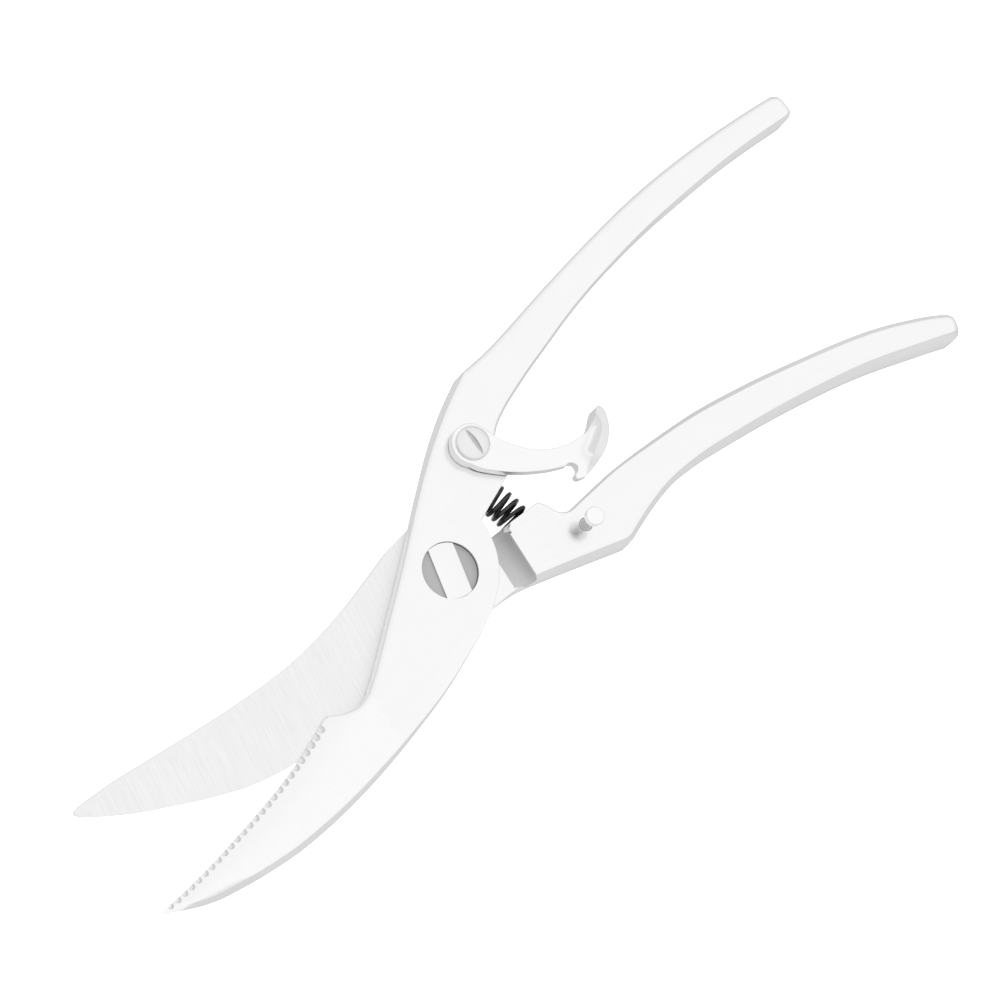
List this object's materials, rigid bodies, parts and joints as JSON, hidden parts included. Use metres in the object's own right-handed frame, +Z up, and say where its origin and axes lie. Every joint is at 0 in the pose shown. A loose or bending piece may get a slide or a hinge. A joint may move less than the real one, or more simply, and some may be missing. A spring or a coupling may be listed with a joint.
{
  "type": "poultry shears",
  "caption": "All-steel poultry shears with curved blades, one serrated, bowed handles, a coil spring between the handle roots and a swinging catch that locks them shut.",
  "frame": {"origin": "on the pivot's axis, in the plane that the shears lie on, at the rear face of the pivot nut", "axes": "+X from the pivot to the handle ends, +Y towards the front half's handle, +Z up along the pivot's axis, towards the catch side"},
  "size_m": [0.2496, 0.0756, 0.0162],
  "materials": {
    "satin_steel": "satin ground stainless steel",
    "ground_steel": "satin stainless steel, blade ground across its length",
    "lever_steel": "fine satin stainless steel",
    "pivot_steel": "satin stainless steel, dark in the spanner pits",
    "polished_steel": "polished stainless steel",
    "spring_steel": "glossy black coated spring wire"
  },
  "bodies": {
    "rear": {"rear_half": "ground_steel", "lock_stud": "polished_steel", "pivot_bolt": "pivot_steel", "pivot_nut": "pivot_steel", "pivot_spring_washer": "polished_steel", "handle_spring": "spring_steel"},
    "front": {"front_half": "satin_steel", "lever_washer": "polished_steel", "lever_screw": "polished_steel"},
    "catch": {"lock_lever": "lever_steel"}
  },
  "joints": [
    {"name": "shears_pivot", "type": "hinge", "parent": "rear", "child": "front", "pos_m": [0, 0, 0.0048], "axis": [0, 0, -1], "range_deg": [0, 16], "stiffness_Nm_per_rad": 2.2, "springref_deg": -5.73, "deforming": ["handle_spring"]},
    {"name": "catch_pivot", "type": "hinge", "parent": "front", "child": "catch", "pos_m": [0.0231, 0.0186, 0.0113], "axis": [0, 0, -1], "range_deg": [-35, 8.8]}
  ]
}
